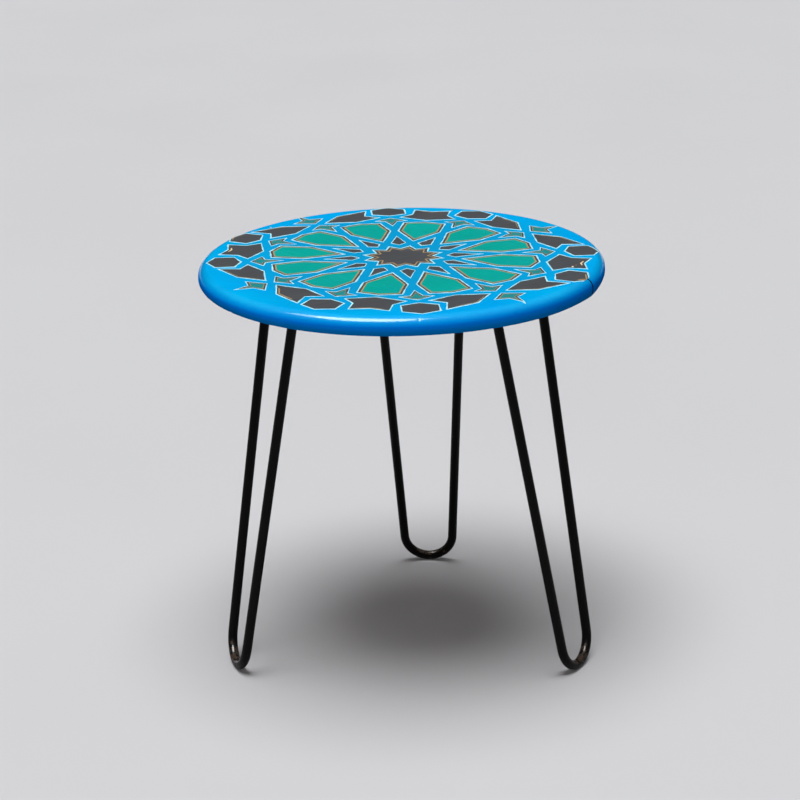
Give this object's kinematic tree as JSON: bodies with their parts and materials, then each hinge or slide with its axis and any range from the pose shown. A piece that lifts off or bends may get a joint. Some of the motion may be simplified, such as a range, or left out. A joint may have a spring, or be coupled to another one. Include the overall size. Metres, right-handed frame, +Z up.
{
  "type": "side table",
  "caption": "Low round side table: a painted wooden top with a bullnose edge and a star strapwork pattern, on hairpin legs of bent black steel rod.",
  "frame": {"origin": "on the floor under the centre of the round top", "axes": "+Z up, +Y away from the picture's viewer, +X to the viewer's right"},
  "size_m": [0.4499, 0.45, 0.457],
  "materials": {
    "painted_wood": "glossy azure paint with a star pattern",
    "black_steel_rod": "semi-gloss black paint",
    "black_steel_plate": "satin black paint",
    "black_weld": "satin black paint over weld",
    "zinc_screw": "zinc plated"
  },
  "bodies": {
    "root": {"tabletop": "painted_wood", "hairpin_rod_left": "black_steel_rod", "mounting_plate_left": "black_steel_plate", "weld_beads_left": "black_weld", "hairpin_rod_back": "black_steel_rod", "mounting_plate_back": "black_steel_plate", "weld_beads_back": "black_weld", "hairpin_rod_right": "black_steel_rod", "mounting_plate_right": "black_steel_plate", "weld_beads_right": "black_weld", "wood_screws": "zinc_screw"}
  },
  "joints": []
}
